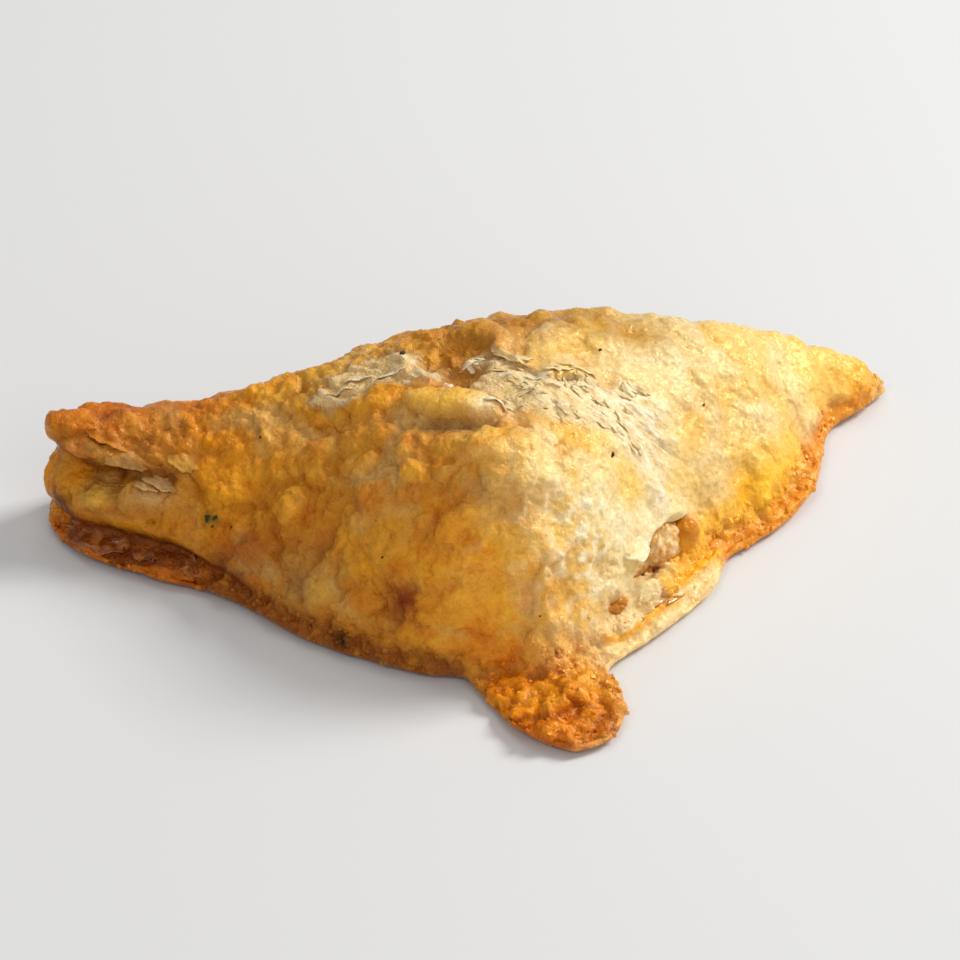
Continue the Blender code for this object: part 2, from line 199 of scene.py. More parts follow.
def cloud(points, size, seed=0):
    """Smooth noise from about -1 to 1, in lumps about a size across."""
    scaled = points / size + seed * 17.31
    base = np.floor(scaled).astype(np.int64)
    part = scaled - base
    fade = part**3 * (part * (part * 6 - 15) + 10)
    total = np.zeros(len(points))
    for corner in itertools.product((0, 1), repeat=3):
        slope = random_at(base + corner, seed) * 2 - 1
        share = np.prod(np.where(corner, fade, 1 - fade), axis=1)
        total += share * ((part - corner) * slope).sum(1)
    return total * 1.8


def drift(points, size, amount, seed):
    """The points, moved about smoothly, so that a pattern on them loses its regular look."""
    return points + amount * np.stack([cloud(points, size, seed + k) for k in range(3)], 1)


def puffs(points, size, seed=0):
    """Blisters side by side: height from 0 in the creases to 1 on a crown, and one number for each."""
    scaled = points / size
    base = np.floor(scaled).astype(np.int64)
    first = np.full(len(points), 9.0)
    second = first.copy()
    own = np.zeros(len(points))
    for corner in itertools.product((-1, 0, 1), repeat=3):
        chance = random_at(base + corner, seed)
        far = np.linalg.norm(base + corner + chance - scaled, axis=1)
        nearer = far < first
        second = np.where(nearer, first, np.minimum(second, far))
        own = np.where(nearer, chance[:, 0], own)
        first = np.where(nearer, far, first)
    return np.clip((second - first) * 1.5, 0, 1)**0.6, own


def scales(points, size, seed=0):
    """Blisters one over another: height from 0 between them to 1 on a high crown, and a number for each."""
    scaled = points / size
    base = np.floor(scaled).astype(np.int64)
    height, own = np.zeros(len(points)), np.zeros(len(points))
    for corner in itertools.product((-1, 0, 1), repeat=3):
        chance = random_at(base + corner, seed)
        far = np.linalg.norm(base + corner + chance - scaled, axis=1) / (0.5 + 0.38 * chance[:, 1])
        dome = np.sqrt(np.clip(1 - far**2, 0, 1)) * (0.6 + 0.4 * chance[:, 2])
        own = np.where(dome > height, chance[:, 0], own)
        height = np.maximum(height, dome)
    return height, own


def in_plan(points, outline):
    """How far the points lie inside an outline seen from above, in mm, less than 0 outside it."""
    plan = points[:, :2]
    starts = np.array(outline, float)[:, :2]
    far, inside = np.full(len(points), 1e9), np.zeros(len(points), bool)
    for a, b in zip(starts, np.roll(starts, -1, axis=0)):
        t = np.clip((plan - a) @ (b - a) / ((b - a)**2).sum(), 0, 1)
        far = np.minimum(far, np.linalg.norm(plan - a - t[:, None] * (b - a), axis=1))
        crossed = (a[1] > plan[:, 1]) != (b[1] > plan[:, 1])
        inside ^= crossed & (plan[:, 0] < a[0] + (plan[:, 1] - a[1]) * (b[0] - a[0]) / (b[1] - a[1] + 1e-9))
    return np.where(inside, far, -far)


def step_up(x, start, end):
    """0 below start, 1 above end, smooth between."""
    t = np.clip((x - start) / (end - start), 0, 1)
    return t * t * (3 - 2 * t)


def near(points, place, half):
    """1 at a place, falling to 0 past its half width."""
    return np.exp(-(((points - place) / half)**2).sum(1))


def near_path(points, path, half):
    """1 on a path of straight pieces, falling to 0 past a half width."""
    closest = np.full(len(points), 1e9)
    for a, b in zip(np.array(path, float), np.array(path[1:], float)):
        t = np.clip((points - a) @ (b - a) / ((b - a)**2).sum(), 0, 1)
        closest = np.minimum(closest, ((points - a - t[:, None] * (b - a))**2).sum(1))
    return np.exp(-closest / half**2)


def points_of(mesh):
    co = np.empty(len(mesh.vertices) * 3)
    mesh.vertices.foreach_get("co", co)
    return co.reshape(-1, 3)


def normals_of(mesh):
    normals = np.empty(len(mesh.vertices) * 3)
    mesh.vertex_normals.foreach_get("vector", normals)
    return normals.reshape(-1, 3)


def put_points(mesh, places):
    mesh.vertices.foreach_set("co", np.asarray(places, float).ravel())
    mesh.update()


def put_number(mesh, name, values):
    """Stores one number a point on the mesh, for its material."""
    mesh.attributes.new(name, "FLOAT", "POINT").data.foreach_set("value", values.astype(np.float32))


def put_colour(mesh, name, values):
    """Stores one linear colour a point on the mesh, for its material."""
    rgba = np.column_stack([values, np.ones(len(values))]).astype(np.float32)
    mesh.attributes.new(name, "FLOAT_COLOR", "POINT").data.foreach_set("color", rgba.ravel())


def evaluated(mesh, add_modifiers):
    """The mesh after the modifiers that a function adds to an object holding it."""
    holder = new_object("holder", mesh)
    add_modifiers(holder.modifiers)
    seen = holder.evaluated_get(bpy.context.evaluated_depsgraph_get())
    result = bpy.data.meshes.new_from_object(seen)
    bpy.data.objects.remove(holder)
    return result


def made_even(mesh, size, passes):
    """The mesh as one skin of even faces, its steps calmed and its thin edges kept as wide."""
    def modifiers(stack):
        remesh = stack.new("even", "REMESH")
        remesh.mode = "VOXEL"
        remesh.voxel_size = size * MM
        for factor in (0.6, -0.62) * passes:
            calm = stack.new("calm", "SMOOTH")
            calm.factor = factor
            calm.iterations = 2
    return evaluated(mesh, modifiers)


def merged_copy(node):
    """A copy of a CAD node's mesh with its loose triangles joined up."""
    bm = bmesh.new()
    bm.from_mesh(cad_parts[node].data)
    bmesh.ops.remove_doubles(bm, verts=bm.verts, dist=1e-6)
    mesh = bpy.data.meshes.new(node)
    bm.to_mesh(mesh)
    bm.free()
    return mesh


crust_mesh = made_even(merged_copy("crust"), SKIN_CELL, SKIN_PASSES)
places = (points_of(crust_mesh) - CORNER) / MM
normals = normals_of(crust_mesh)
x, y, z = places.T

# Where things are on the skin, in mm from the fold's left corner.
GROOVE = [(0.6, -8, 7.6), (2.9, -8.7, 4.8), (8, -13, 4), (14, -17.6, 4), (21, -24.4, 4.2), (26, -32, 5)]
RECESS = [(1, -6, 17.2), (7.5, -9, 15), (13, -12.6, 15.2), (18, -15, 14.9)]
LIP = [(-0.3, -7, 2), (2, -13, 2), (8, -19, 2), (14, -24, 2), (20, -27.5, 2)]
LEFT_BASE = [(22, -29, 3), (28, -36, 3), (34, -44, 2), (41, -51, 2), (48, -57, 2), (55, -61, 2)]
RIGHT_RIM = [(142, -5, 2), (134, -11, 2), (128.6, -22, 2), (124, -29, 2), (118, -35, 2), (108, -40, 2)]
LOW_RIM = [(104, -47.5, 2), (98, -53, 2), (91, -58.5, 2), (83, -64, 2)]
TIP = (69, -76, 3)

# Outlines seen from above, in mm: what the torn skin lays bare, and the lobes that stand round it.
TORN = [(68, -21), (72, -19.9), (75.6, -26), (79.5, -30.8), (84.9, -29.6), (90.4, -28.3), (95.9, -27.3),
        (98.8, -29.3), (99.8, -32.5), (98.4, -36.3), (95.8, -40.6), (91.5, -42), (87, -40), (82, -40.5),
        (77, -41.5), (74.5, -38), (70.5, -39), (69.5, -34), (65, -30), (63, -26)]
TORN_LEFT = [(41, -15.5), (47, -12.2), (53, -11.2), (58, -12), (61, -15.5), (62, -21), (57.5, -23), (53, -20),
             (48, -20.5), (43.5, -20)]
TORN_EDGE = [(71, -18.5, 36.4), (75.6, -26, 36.6), (79.5, -30.2, 35.9), (84.9, -28.6, 33.4), (88, -28, 32.3)]
CURL_CREASE = [(56.8, -34.6, 33), (60, -35.6, 33.6), (62.3, -36.6, 34.7), (64.3, -38.6, 35.3), (67, -40.6, 36)]
WALL_CREASE = [(21.5, -8.5, 21.5), (22.4, -12, 18.5), (21.8, -15, 16)]
CURLED = [(55.5, -24.6), (60.3, -25.8), (64.2, -30.2), (68.4, -33.5), (70, -37.3), (68.5, -39), (65, -38.4),
          (60, -34.8), (56, -30.5)]
OVERHANG = [(62, -44), (65, -42.2), (70, -43.2), (73.5, -46.5), (73.5, -51), (70.5, -54), (66, -55.5), (62.5, -52)]
WET_FOLDS = [
    [(92.5, -50.8), (96, -47.6), (101, -44.2), (106, -40.3), (107, -41.8), (102.5, -46), (98, -49.6), (94, -52.2)],
    [(80, -61.2), (85, -58.8), (91, -55.2), (96, -51.2), (97.2, -52), (92.5, -56.2), (86.5, -59.8), (80.8, -62.4)],
]
HOLLOW = [(59, -17.5), (64, -14), (70, -13.6), (74, -18), (73, -21.5), (70.5, -26), (66.5, -28), (61.5, -24.5)]
LIP_JUICE = [(0.6, -9.5), (3, -8.2), (8, -12.5), (14, -17), (21, -24), (20, -25.9), (13, -22.6), (7, -17.9),
             (2.2, -12.6)]
LOWER_LAYER = [(79, -62.3), (83.9, -60.5), (89.8, -57.5), (96.4, -52.3), (102.2, -47), (107, -42), (103, -39),
               (96, -46), (88, -52), (79, -57)]
FIBRES = (0.745, -0.353, -0.566)        # the way the bared layers' fibres run
LOBES = [                               # other lobes and dents: middle, half widths, height
    ((72, -55, 27), (4, 4, 4), -1.1),
    ((52, -33, 30), (5, 6, 5), 0.8),
    ((44, -24, 27), (4, 6, 5), -0.8),
    ((38, -16, 25), (3, 7, 5), -1),
    ((35, -33, 17), (5, 5, 4), 0.7),
    ((30, -25, 17), (3, 5, 5), -0.9),
    ((46, -44, 21), (5, 5, 4), 0.7),
    ((41, -40, 17), (3, 4, 5), -0.9),
    ((56, -52, 21), (4, 4, 6), 0.6),
    ((52, -48, 22), (2.5, 5, 5), -0.8),
    ((24, -20, 13), (4, 4, 3), 0.9),
    ((20, -19, 13), (2, 4, 4), -0.8),
    ((85, -13, 35), (7, 4, 4), 0.7),
    ((98, -14, 30), (3, 7, 4), -0.9),
    ((108, -20, 23), (4, 8, 6), 0.7),
    ((113, -22, 19), (2.5, 8, 6), -0.8),
    ((103, -34, 15), (3, 5, 6), 0.6),
    ((86, -44, 27), (4, 4, 4), 0.7),
    ((89, -49, 20), (3, 5, 4), -0.7),
    ((142, -2.5, 5), (5, 4, 4), 0.9),
    ((99.6, -41, 8), (3, 2.2, 3.2), 1.9),
    ((136, -7, 5), (2, 4, 3), -0.7),
    ((84.6, -57.3, 6.8), (2.2, 1.6, 1.7), -1.4),
    ((69.6, -21.2, 36), (2.2, 1.2, 2), 1.3),
    ((84.6, -30.6, 33.4), (2.6, 1.5, 2), 0.9),
    ((80.6, -37.6, 34.2), (1.5, 1.2, 2), 0.9),
    ((78.6, -36.2, 35), (0.8, 1.6, 1.5), -0.9),
    ((95.5, -42.2, 17), (2.6, 1.4, 3), 0.9),
    ((62.6, -17.4, 34.6), (1.6, 1.2, 1.5), 1.6),
    ((57.8, -17.6, 33.5), (0.9, 2.6, 1.5), 1),
    ((65.2, -18.6, 35), (0.6, 2.2, 1.5), 1.2),
    ((0.6, -1.6, 21.8), (2.2, 2.5, 1.6), 4),
    ((-0.6, -6.5, 16.8), (2.2, 2.5, 1.4), 3.6),
    ((0.6, -4.6, 19.2), (1.8, 2.4, 1), -1),
]

upper = step_up(normals[:, 2], -0.3, 0.2)
top = step_up(z, 12, 15)
past = (x - 76) * 0.8 - (y + 30) * 0.15
right = 1 / (1 + np.exp(-past / 5))
rim = 1 - step_up(z, 3.5, 7)
smoother = 1 - 0.8 * near_path(places, LOW_RIM, 4) - 0.5 * near_path(places, RIGHT_RIM, 4)
granular = np.clip(np.maximum(0.8 * rim * smoother, 0.8 * near(places, TIP, (12, 12, 6))), 0, 1)

# Relief of the skin, in mm: blisters one over another in three sizes, and wrinkles between them.
bent = drift(places, 7, 2.2, 1)
downhill = np.stack([bent[:, 0] * 0.9 + bent[:, 1] * 0.5, bent[:, 1] * 0.5 - bent[:, 0] * 0.28, bent[:, 2] * 0.5], 1)
stretched = (bent + (downhill - bent) * right[:, None]) * (1 - 0.22 * right)[:, None]
big, big_own = scales(stretched, BIG_BLISTER, 2)
small, _ = scales(drift(places, 3, 1.1, 5), SMALL_BLISTER, 3)
wrinkle = 1 - np.abs(cloud(drift(places, 2.2, 0.8, 31), 1.7, 12))
pips, _ = scales(drift(places, 1.5, 0.5, 41), PIP, 6)
fine = 0.3 * pips + 0.25 * scales(drift(places, 1.2, 0.5, 45), FINE_PIP, 46)[0] - 0.2
bed = (1.9 - 0.6 * right) * (big - 0.55) + (0.6 - 0.45 * right) * (small - 0.5) + 0.2 * wrinkle - 0.25
bed += (1 - right) * fine
at_tip = near(places, TIP, (11, 11, 7))
bed += granular * ((0.8 - 0.3 * at_tip) * pips + 0.9 * cloud(places, 3.5, 13) - 0.3 - 0.55 * (bed + 0.3))
lumps, _ = scales(drift(places, 4, 1.5, 47), TIP_LUMP, 48)
bed += at_tip * (1.8 * (lumps - 0.5) + 1.3 * cloud(places, 5, 15))

# Layers laid bare: lower than the skin round them, in fibres that run down to the right.
ragged = 0.5 * cloud(places, 2.6, 71) + 0.3 * cloud(places, 1.1, 72)
fibre_way = np.array(FIBRES)
across = np.cross(fibre_way, (0.3, -0.5, 0.81))
across /= np.linalg.norm(across)
combed = drift(places, 6, 1.6, 73)
fibre_axes = (fibre_way, across, np.cross(fibre_way, across))
combed = np.stack([combed @ axis / size for axis, size in zip(fibre_axes, FIBRE_SIZES)], 1)
fibres = 1 - np.abs(cloud(combed, 1, 74)) * 1.3
strands = cloud(combed * (0.6, 0.45, 0.6), 1, 75)
torn_by = (np.maximum(in_plan(places, TORN), in_plan(places, TORN_LEFT)) + ragged) * top - 30 * (1 - top)
cliff = np.maximum(near_path(places, TORN_EDGE, 4), 1 - right)
torn = step_up(torn_by, -0.1 - 1.3 * (1 - cliff), 0.35 + 1.3 * (1 - cliff))
bed += torn * (0.5 * fibres + 0.65 * strands - 0.65 * bed - 0.5 - 0.4 * cliff)
bed += 0.65 * near_path(places, TORN_EDGE, 1.5) * (1 - torn)
layers = cloud(drift(places, 4, 1.5, 76), 6, 77) + 0.25 * cloud(places, 1.6, 78)
layer_edge = sum(step_up(layers, level, level + 0.07) for level in LAYER_STEPS)
bed -= LAYER_STEP * (layer_edge - 1) * (1 - torn) * upper


def rounded(inside_by, width):
    """A lobe's height across it: 0 at its outline, then steeply up to 1 at a width from it."""
    return np.sqrt(1 - (1 - np.clip(inside_by / width, 0, 1))**2)


curled = rounded((in_plan(places, CURLED) + 0.6 * ragged) * top, 2.2)
overhang = rounded((in_plan(places, OVERHANG) + 0.6 * ragged) * top, 2.6)
hollow = step_up(in_plan(places, HOLLOW) + ragged, -0.4, 2.2) * top
lower_layer = step_up(in_plan(places, LOWER_LAYER) + 0.4 * ragged, -0.1, 0.3) * rim
juice = step_up(in_plan(places, LIP_JUICE) + 0.5 * ragged, -0.3, 0.5) * (1 - step_up(z, 4, 6))
bed += juice * (0.25 * cloud(places, 3, 81) + 0.1 * cloud(places, 1.2, 82) - 0.2 - bed)
wet = np.maximum(*[rounded(in_plan(places, fold) + 0.5 * ragged, 1.3) for fold in WET_FOLDS]) * (1 - step_up(z, 6, 8))
bed += wet * 0.9
bed -= 1.1 * near_path(places, CURL_CREASE, 0.9) + 0.9 * near_path(places, WALL_CREASE, 1.0)
bed += curled * (2.0 - 0.7 * bed) + overhang * (1.4 - 0.3 * bed) + lower_layer * 0.8
bed -= 2.3 * hollow * (1 - curled)
bed -= 1.3 * near_path(places, RECESS, 1.5)
for lobe, half, rise in LOBES:
    bed += rise * near(places, lobe, half)
bed *= 1 - BACK_CALM * step_up(y, -8, -2)
height = bed * upper
crease = np.clip(1.05 - 0.75 * big - 0.35 * small, 0, 1)
crown = step_up(big, 0.45, 0.85)

# Colours of the baked skin from place to place: middle, half widths, colour, strength.
LEFT_SKIN = "#DE9A22"
RIGHT_SKIN = "#EFD8A2"
TONES = [
    ((44, -28, 25), (9, 9, 6), "#E2AA3C", 0.8),
    ((56, -44, 27), (9, 7, 6), "#E0A030", 0.8),
    ((50, -12, 30), (16, 6, 6), "#DDB050", 0.85),
    ((25, -12, 21), (6, 8, 5), "#DE8E1E", 0.7),
    ((12, -3, 22), (12, 5, 3), "#C26A0A", 0.9),
    ((7.3, -1.6, 22), (3, 2.5, 2), "#E8941C", 0.9),
    ((16, -7, 21.5), (5, 3, 3), "#DC9A34", 0.85),
    ((9.5, -6.5, 20.5), (2.5, 2, 1.5), "#D68418", 0.8),
    ((8, -10, 18.5), (9, 5, 1.8), "#C4904E", 0.8),
    ((10, -13, 10.5), (10, 5, 2.4), "#C08A40", 0.8),
    ((6, -12, 11.5), (3, 2.5, 2), "#DDB468", 0.8),
    ((15, -16, 12.5), (3, 3, 1.5), "#D8B07C", 0.7),
    ((60, 6, 12), (45, 5, 14), "#DCAC58", 0.6),
    ((28, -31, 9), (6, 6, 4), "#A24E0A", 0.7),
    ((36, -42, 11), (9, 6, 5), "#C49A58", 0.65),
    ((62, -57, 20), (5, 6, 9), "#FFBA3A", 0.85),
    ((62, -62, 8), (6, 4, 5), "#D98014", 0.8),
    ((67, -61, 16), (4, 6, 9), "#F6B43A", 0.8),
    ((57, -51, 24), (5, 5, 4), "#E89A1C", 0.7),
    ((66, -47, 35), (6, 6, 4), "#FFC84E", 0.85),
    ((72.5, -49, 32), (3.5, 4, 5), "#FBE8AE", 0.9),
    ((82, -54, 18), (8, 8, 10), "#F5E7BC", 0.9),
    ((81, -43, 33), (4.5, 2.5, 3), "#F4C452", 0.8),
    ((90, -39, 28), (5, 3.5, 5), "#F6E4B4", 0.85),
    ((90, -45.5, 23), (5, 2.5, 4), "#F8D26C", 0.7),
    ((88, -10, 35), (20, 5, 5), "#C48E2C", 0.9),
    ((96, -14, 31), (9, 4, 4), "#DDAE50", 0.8),
    ((69, -77, 4), (10, 9, 4), "#EE920E", 0.95),
    ((65, -81, 3), (5, 4, 3), "#B84A06", 0.8),
    ((62.5, -70, 3), (3, 6, 3), "#B85808", 0.8),
    ((73, -78.5, 4), (3, 2, 2), "#FBB42C", 0.8),
    ((77, -71, 4), (5, 6, 5), "#EDA52C", 0.9),
    ((118, -29, 6), (8, 6, 5), "#FFC41A", 0.9),
    ((101, -45, 5), (5, 5, 4), "#FBB41C", 0.9),
    ((136, -4, 9), (9, 7, 6), "#FFDC78", 0.85),
    ((144, -2, 5), (6, 4, 4), "#FFB83C", 0.85),
    ((56.5, -13.5, 32.5), (3, 2, 2), "#F2AE2C", 0.8),
]
SPOTS = [                               # small dark marks that lie over everything else
    ((9.6, -3.6, 22), 1.7, "#8A3206", 0.85),
    ((15.2, -10, 19.6), 1.4, "#7E2E04", 0.85),
    ((12.5, -7, 20.6), 1.2, "#9A4206", 0.7),
    ((3, -2.5, 21.5), 1.8, "#B0601A", 0.6),
    # the next two darken the hollow: partly painted shade inside it
    ((68.6, -16, 35.4), 3, "#8A500E", 0.85),
    ((64.5, -22.5, 34.4), 2, "#9A6A24", 0.7),
    ((84.6, -57.3, 6.8), 2.2, "#B97A38", 0.8),
    ((93.2, -45.6, 4.6), 1.5, "#7E3E0C", 0.8),
    ((49.6, -53.9, 12.3), 3.6, "#A03A04", 0.85),
    ((49.2, -53.6, 12), 1.8, "#7A2202", 0.85),
    ((47.5, -53.5, 9.5), 1.6, "#8A4208", 0.8),
    ((38, -46.5, 12), 1.6, "#A88A60", 0.7),
    ((33.5, -41.5, 9.5), 2, "#A8895C", 0.6),
    ((57, -50, 24), 1.4, "#C97008", 0.7),
    ((23.5, -23.6, 11.5), 1.3, "#4E4A22", 0.85),
    ((39.2, -50, 3.1), 1.6, "#3A1204", 0.9),
    # painted shade low in the notch beside the front tip
    ((62, -62, 3), 2, "#5A2A06", 0.7),
]
PATHS = [
    # the next three darken dents: painted shade in the recess and wall crease, painted shadow under the curled flap
    (RECESS, 1.8, "#7A400C", 0.85),
    (WALL_CREASE, 1.1, "#8E5014", 0.8),
    (CURL_CREASE, 1.1, "#8A5210", 0.85),
    (GROOVE, 2.2, "#5C2405", 0.95),
    (LIP, 3.2, "#CC6E0E", 0.9),
    (LEFT_BASE, 3.4, "#86400A", 0.85),
    ([(104, -41, 5), (112, -35, 6), (119, -29, 7), (126, -20, 7)], 4, "#FFC83A", 0.85),
    (RIGHT_RIM, 3, "#EC961E", 0.9),
    (LOW_RIM, 3.2, "#F8DAA2", 0.9),
    ([(63, -70, 3), (68, -79, 3), (74, -79, 3)], 5, "#EE900C", 0.95),
]


def mixed(colours, other, share):
    """The colours, a share of each replaced by another."""
    share = np.broadcast_to(np.clip(share, 0, 1), len(colours))
    return colours + (np.array(linear(other)[:3]) - colours) * share[:, None]


def tinted(colours, factors, share):
    """The colours, each of their parts multiplied, by a share from 0 to 1."""
    return colours * (1 + (np.array(factors) - 1) * np.broadcast_to(share, len(colours))[:, None])


def painted(colours, coats):
    """The colours under each coat in turn: a hex colour replaces a share of them, factors tint it."""
    for coat, share in coats:
        colours = (mixed if isinstance(coat, str) else tinted)(colours, coat, share)
    return colours


def broad(share, by=1.5):
    """A share from 0 to 1 that stays at 1 for longer."""
    return np.clip(by * share, 0, 1)


tone = mixed(np.zeros((len(places), 3)), LEFT_SKIN, 1.0)
tone = mixed(tone, RIGHT_SKIN, right)
for place, half, colour, strength in TONES:
    tone = mixed(tone, colour, strength * broad(near(places, place, half), 1.7))
for path, half, colour, strength in PATHS:
    tone = mixed(tone, colour, strength * broad(near_path(places, path, half), 1.4))
calm = 1 - granular
left = 1 - right
wrinkled = step_up(cloud(bent, 9, 54), -0.1, 0.35) * step_up(x, 16, 24) * step_up(z, 5, 9)
streaks = cloud(np.stack([stretched[:, 0] / 2.2, stretched[:, 1], stretched[:, 2]], 1), 4, 57)
flat = calm * step_up(z, 7, 12)
patches = step_up(cloud(places, 2.6, 55), -0.1, 0.25)
bared = torn * (1 - curled) * (1 - overhang)

skin = painted(tone, [
    ("#D2AE78", 0.75 * left * crease * wrinkled * calm),
    # painted shade: darker in the creases between blisters
    ((0.8, 0.62, 0.4), 0.8 * left * crease * (1 - wrinkled) * calm),
    ((1.14, 1.1, 0.6), left * crown * (big_own > 0.4) * calm),
    ((0.88, 0.64, 0.35), 0.9 * left * crown * (big_own < 0.22) * calm),
    ((0.94, 0.76, 0.5), 0.8 * left * step_up(cloud(bent, 3.2, 56), 0.1, 0.5) * calm),
    ("#F2CC70", 0.75 * right * step_up(-streaks, 0.05, 0.5) * flat),
    # painted shade: darker in the creases on the right slope
    ((0.97, 0.84, 0.6), 0.6 * right * crease**1.5 * calm),
    ("#FDF0CC", 0.5 * right * step_up(streaks, 0.1, 0.5) * flat * step_up(-y, 12, 18)),
    ("#FFF4D2", 0.8 * broad(near(places, (79, -55, 20), (7, 6, 9))) * patches),
    ("#F0B840", 0.7 * broad(near(places, (74, -60, 14), (8, 6, 8))) * (1 - patches)),
    # at the front tip and on the crisp rims: darker between lumps and grains, painted shade;
    # lighter on their tops, partly painted highlight
    ("#A43E04", 0.8 * at_tip * (1 - step_up(lumps, 0.15, 0.5))),
    ("#F4AE30", 0.6 * at_tip * step_up(lumps, 0.6, 0.9)),
    ("#8E3A08", 0.55 * granular * (1 - step_up(pips, 0.2, 0.7)) * (1 - near_path(places, LOW_RIM, 5))),
    ("#FFAE1C", 0.4 * granular * step_up(pips, 0.7, 1.0)),
    ("#74300A", 0.95 * juice),
    # lighter swirls in the juice: partly painted glints
    ("#A65A24", 0.7 * juice * step_up(cloud(places, 2.2, 83), 0.2, 0.6)),
])
for spot, half, colour, strength in SPOTS:
    skin = mixed(skin, colour, strength * near(drift(places, 1.2, 0.35 * half, 84), spot, half))
skin = painted(skin, [
    ("#F3E0B4", (0.95 - 0.35 * left) * bared),
    ("#F5E6C2", 0.8 * bared * step_up(x, 80, 90)),
    # painted shade: darker in the troughs between the bared fibres
    ("#D8AE68", 0.45 * bared * (1 - step_up(fibres + 0.6 * strands, 0.3, 0.9))),
    # paler strands: partly painted highlight
    ("#FBF0D6", (0.8 - 0.4 * left) * bared * step_up(strands + 0.4 * cloud(places, 2, 79), 0.25, 0.6)),
    # tanner middle of the bared layers: partly painted shade
    ("#DDBE84", 0.6 * bared * near(places, (75, -36, 36), (6, 5, 4))),
    # painted shadow under the lifted torn edge
    ("#B4762C", 0.75 * cliff * torn * np.exp(-(torn_by / 0.8)**2)),
    ("#FFCA50", 0.9 * curled),
    ("#FFF0C8", 0.9 * curled * broad(near(places, (68.5, -37.5, 36), (3.5, 3.2, 4)))),
    # the hollow's brown: partly painted shade inside it
    ("#B57418", 0.9 * hollow * (1 - curled)),
    ("#D2B484", 0.7 * near(places, (61, -21.5, 33.5), (3, 2.5, 3)) * (1 - curled)),
    ("#E4A838", 0.8 * near(places, (62.6, -17.4, 34.6), (1.8, 1.4, 2))),
    ("#E6D2A8", 0.8 * near(places, (69.6, -21.2, 36), (2.4, 1.6, 2))),
    ("#FBF2DA", 0.8 * near(places, (95.3, -42.2, 17.5), (3, 2, 3))),
    ((0.75, 0.5, 0.25), 0.8 * near(places, (66, -83, 2), (6, 2.5, 3))),
    ("#FFB614", 0.95 * wet),
    ("#D07C08", 0.6 * wet * step_up(cloud(places, 2.4, 85), 0.25, 0.6)),
    ("#CE7E16", 0.95 * broad(near(places, (99.6, -41, 8.0), (2.8, 2.2, 3.2)))),
    # painted shade: darker in the creases over the whole skin, more in deeper ones
    ((0.85, 0.75, 0.6), 0.6 * crease**2 * (1 - bared)),
    ((0.8, 0.74, 0.56), right * step_up(z, 22, 31) * step_up(y, -24, -16) * (1 - bared)),
    ((1.0, 0.965, 0.87), left * (1 - bared)),
])

body_faces = [tuple(p.vertices) for p in crust_mesh.polygons]
places = places + normals * height[:, None]
soft_top = CAD_BOX[1][2] / MM - TOP_ROOM[0]
over = np.maximum(places[:, 2] - soft_top, 0)
places[:, 2] -= over - TOP_ROOM[1] * (1 - np.exp(-over / TOP_ROOM[1]))
body = BVHTree.FromPolygons([Vector(p) for p in places], body_faces)
put_points(crust_mesh, to_row(places))
put_colour(crust_mesh, "skin", skin)
put_number(crust_mesh, "torn", np.maximum(torn, 0.6 * hollow))
soaked = np.clip(wet + near(places, (99.6, -41, 8.4), (3, 2.5, 3)), 0, 1)
put_number(crust_mesh, "gloss", np.maximum(np.maximum(1.3 * juice, soaked), 0.5 * granular))
crumbs = granular * (1 - 0.75 * at_tip) * (z > 0.8) * (normals[:, 2] > -0.2) * (1 - juice)
crumbs *= 1 - near_path(places, LOW_RIM, 5)
put_number(crust_mesh, "crumbs", np.clip(crumbs, 0, 1))
put_number(crust_mesh, "grains", np.clip(granular + 0.8 * left, 0, 1))


def thin_out(mesh, triangles):
    """The mesh with about this many triangles, most of them where it bends."""
    def modifiers(stack):
        now = sum(len(p.vertices) - 2 for p in mesh.polygons)
        stack.new("thin", "DECIMATE").ratio = min(1, triangles / now)
    return evaluated(mesh, modifiers)


def shade_smooth(mesh):
    mesh.polygons.foreach_set("use_smooth", [True] * len(mesh.polygons))


crust_mesh = thin_out(crust_mesh, SKIN_TRIANGLES)
crust_mesh.name = "crust_skin"
shade_smooth(crust_mesh)
crust = new_object("crust_skin", crust_mesh)

# The output and settings of a node that mixes two colours, and of one that multiplies them.
BLEND = {"output": 2, "data_type": "RGBA"}
MULTIPLY = {**BLEND, "blend_type": "MULTIPLY"}

# Baked butter pastry: golden-brown, faintly glazed by its own butter, matt and pale where torn.
material, tree, shader = new_material("baked puff pastry", {
    "Subsurface Weight": 0.12, "Subsurface Radius": (1.2, 0.6, 0.25), "Subsurface Scale": MM,
    "Specular IOR Level": 0.5, "Specular Tint": (1.0, 0.7, 0.22, 1), "Coat Weight": 0.06, "Coat Roughness": 0.2})
place = add(tree, "ShaderNodeTexCoord", output="Object")
in_mm = add(tree, "ShaderNodeVectorMath", {0: place, "Scale": 1 / MM}, operation="SCALE")
skin_at = add(tree, "ShaderNodeAttribute", attribute_name="skin")
torn_at, gloss_at, grains_at = [add(tree, "ShaderNodeAttribute", output="Fac", attribute_name=name)
                                for name in ("torn", "gloss", "grains")]
grainy = add(tree, "ShaderNodeMapRange", {"Value": grains_at, "To Min": 0.06, "To Max": 0.24})
crumb = add(tree, "ShaderNodeTexNoise", {"Vector": in_mm, "Scale": 0.8, "Detail": 4})
grain = add(tree, "ShaderNodeTexNoise", {"Vector": in_mm, "Scale": 2.6, "Detail": 3})
facet = add(tree, "ShaderNodeTexVoronoi", {"Vector": in_mm, "Scale": 1.1}, feature="SMOOTH_F1")
axes = Matrix(fibre_axes).transposed()
silk_at = add(tree, "ShaderNodeMapping", {"Vector": in_mm, "Rotation": axes.to_euler(), "Scale": (5, 0.5, 0.5)},
              vector_type="TEXTURE")
silk = add(tree, "ShaderNodeTexNoise", {"Vector": silk_at, "Scale": 1.0})
